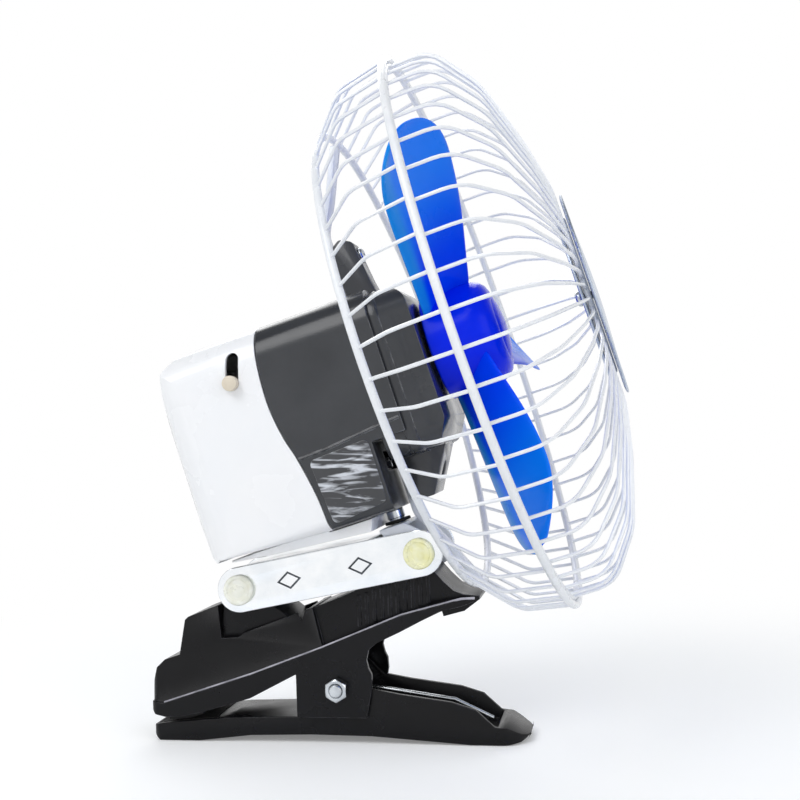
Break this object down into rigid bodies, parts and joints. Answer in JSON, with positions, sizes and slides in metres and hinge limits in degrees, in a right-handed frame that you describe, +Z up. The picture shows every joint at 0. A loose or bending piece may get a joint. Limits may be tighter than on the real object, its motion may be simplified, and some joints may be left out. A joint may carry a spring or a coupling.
{
  "type": "clip fan",
  "caption": "Clip-on fan: spring clamp with grip handles, link arm on two friction bolts, oscillating motor head, blue blades in a white wire cage.",
  "frame": {"origin": "middle of the bounding box's footprint, on the surface that the clamp stands on", "axes": "+Z up; the fan blows towards +X and up at 16.7 degrees; the clamp's pivot and the arm's bolts lie along Y"},
  "size_m": [0.1888, 0.2196, 0.2616],
  "materials": {
    "black_plastic": "semi-gloss moulded black",
    "black_rubber": "matte",
    "zinc_steel": "zinc plated",
    "yellow_zinc": "yellow zinc plated",
    "chrome": "bright polished",
    "white_paint": "smooth white paint",
    "white_plastic": "satin moulded white",
    "slate_plastic": "gloss dark grey",
    "lamination_steel": "stacked sheet",
    "copper": "enamelled winding",
    "brass": "sintered",
    "white_wire": "coated wire",
    "silver_disc": "satin silver",
    "blue_plastic": "gloss blue",
    "cream_plastic": "moulded cream",
    "red_plastic": "moulded red"
  },
  "bodies": {
    "clamp_base": {"lower_jaw": "black_plastic", "lower_jaw_pad": "black_rubber", "clamp_bolt": "zinc_steel", "clamp_nut": "zinc_steel", "clamp_spring": "zinc_steel"},
    "clamp_top": {"upper_jaw": "black_plastic", "upper_jaw_pad": "black_rubber", "arm_knuckle": "black_plastic"},
    "arm": {"link_arm": "chrome", "lower_arm_bolt": "zinc_steel", "lower_arm_nut": "zinc_steel", "upper_arm_bolt": "yellow_zinc", "upper_arm_nut": "zinc_steel"},
    "neck": {"head_bracket": "white_paint", "spindle": "zinc_steel", "spindle_washer": "black_rubber", "spindle_nut": "zinc_steel", "spindle_lever": "zinc_steel"},
    "head": {"rear_cover": "white_plastic", "front_housing": "slate_plastic", "motor_bracket": "slate_plastic", "stator": "lamination_steel", "motor_coil": "copper", "front_bush": "brass", "rear_bush": "brass", "gearbox_frame": "black_plastic", "cover_screw_left": "zinc_steel", "cover_screw_right": "zinc_steel", "strap_screw_upper": "zinc_steel", "strap_screw_lower": "zinc_steel", "rear_guard": "white_wire", "guard_strap": "white_paint", "front_guard": "white_wire", "badge_front": "silver_disc", "badge_back": "silver_disc", "badge_screw": "zinc_steel", "switch_body": "black_plastic", "cord_gland": "black_rubber"},
    "fan": {"fan_blades": "blue_plastic", "hub_bush": "brass", "motor_shaft": "zinc_steel", "rotor": "lamination_steel", "worm": "brass"},
    "gear": {"worm_wheel": "cream_plastic", "crank": "zinc_steel"},
    "link": {"crank_link": "zinc_steel"},
    "lever": {"oscillation_lever": "cream_plastic"},
    "rocker": {"rocker_switch": "red_plastic"}
  },
  "joints": [
    {"name": "clamp_open", "type": "hinge", "parent": "clamp_base", "child": "clamp_top", "pos_m": [-0.01874, 0, 0.0213], "axis": [0, 1, 0], "range_deg": [0, 22], "stiffness_Nm_per_rad": 0.8, "springref_deg": -60.16, "deforming": ["clamp_spring"]},
    {"name": "arm_tilt", "type": "hinge", "parent": "clamp_top", "child": "arm", "pos_m": [-0.05674, 0, 0.0591], "axis": [0, 1, 0], "range_deg": [-60, 0]},
    {"name": "head_tilt", "type": "hinge", "parent": "arm", "child": "neck", "pos_m": [0.01445, 0, 0.07229], "axis": [0, 1, 0], "range_deg": [0, 60]},
    {"name": "oscillation", "type": "hinge", "parent": "neck", "child": "head", "pos_m": [0.00257, 0, 0.08648], "axis": [-0.2874, 0, 0.9578], "range_deg": [-30, 30]},
    {"name": "crank_link_turn", "type": "hinge", "parent": "neck", "child": "link", "pos_m": [-0.00347, 0.009, 0.10659], "axis": [-0.2874, 0, 0.9578], "range_deg": [-30, 30]},
    {"name": "blade_spin", "type": "hinge", "parent": "head", "child": "fan", "pos_m": [0.04107, 0, 0.15545], "axis": [0.9578, 0, 0.2874], "continuous": true},
    {"name": "gear_spin", "type": "hinge", "parent": "head", "child": "gear", "pos_m": [-0.05088, 0.0149, 0.12787], "axis": [-0.2874, 0, 0.9578], "continuous": true},
    {"name": "oscillation_switch", "type": "slide", "parent": "head", "child": "lever", "axis": [0, 0, 1], "range_m": [0, 0.009]},
    {"name": "power_switch", "type": "hinge", "parent": "head", "child": "rocker", "pos_m": [-0.04389, 0, 0.07672], "axis": [0, 1, 0], "range_deg": [0, 8]}
  ],
  "couplings": [
    {"joint": "head_tilt", "follows": "arm_tilt", "ratio": -1},
    {"joint": "crank_link_turn", "follows": "oscillation", "ratio": 1},
    {"joint": "gear_spin", "follows": "blade_spin", "ratio": -0.041667}
  ]
}
